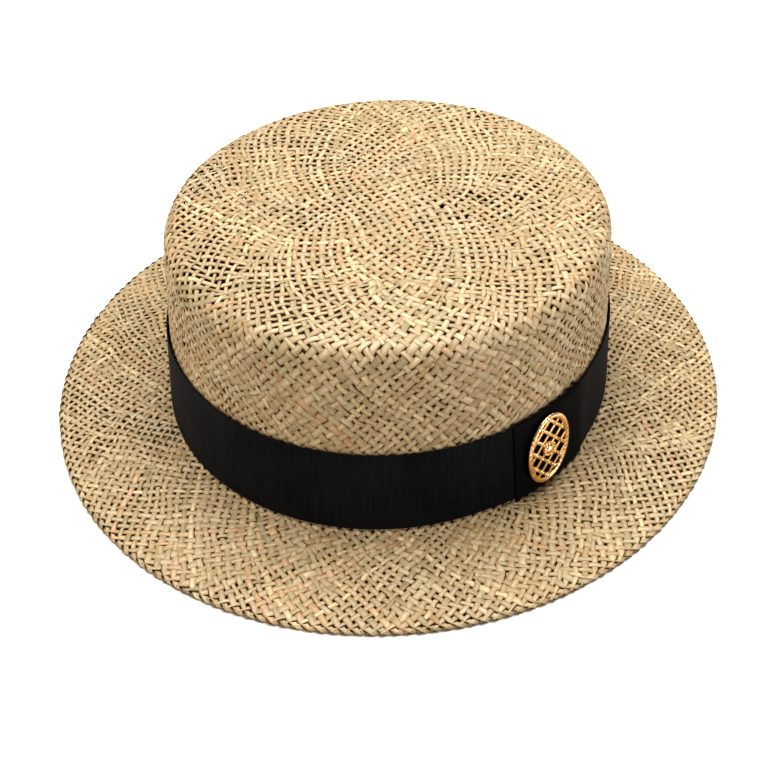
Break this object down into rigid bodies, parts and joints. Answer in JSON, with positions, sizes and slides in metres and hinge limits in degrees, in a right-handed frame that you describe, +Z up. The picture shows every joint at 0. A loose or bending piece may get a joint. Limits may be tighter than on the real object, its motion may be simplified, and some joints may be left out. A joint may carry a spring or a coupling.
{
  "type": "woven straw hat",
  "caption": "Flat-topped woven straw hat with a nearly flat round brim, a black grosgrain ribbon band with a folded keeper, and a small gilt openwork ornament.",
  "frame": {"origin": "on the plane that the brim's edge rests on, under the middle of the hat's outline", "axes": "+Z up out of the crown, -Y where the wearer looks, +X the wearer's left; the oval crown is longest along Y"},
  "size_m": [0.27, 0.2866, 0.0828],
  "materials": {
    "straw": "natural woven straw, matt",
    "grosgrain": "black ribbed ribbon, slight sheen",
    "gilt_metal": "polished pale gilt"
  },
  "bodies": {
    "root": {"woven_body": "straw", "ribbon_band": "grosgrain", "ribbon_keeper": "grosgrain", "ornament": "gilt_metal"}
  },
  "joints": []
}
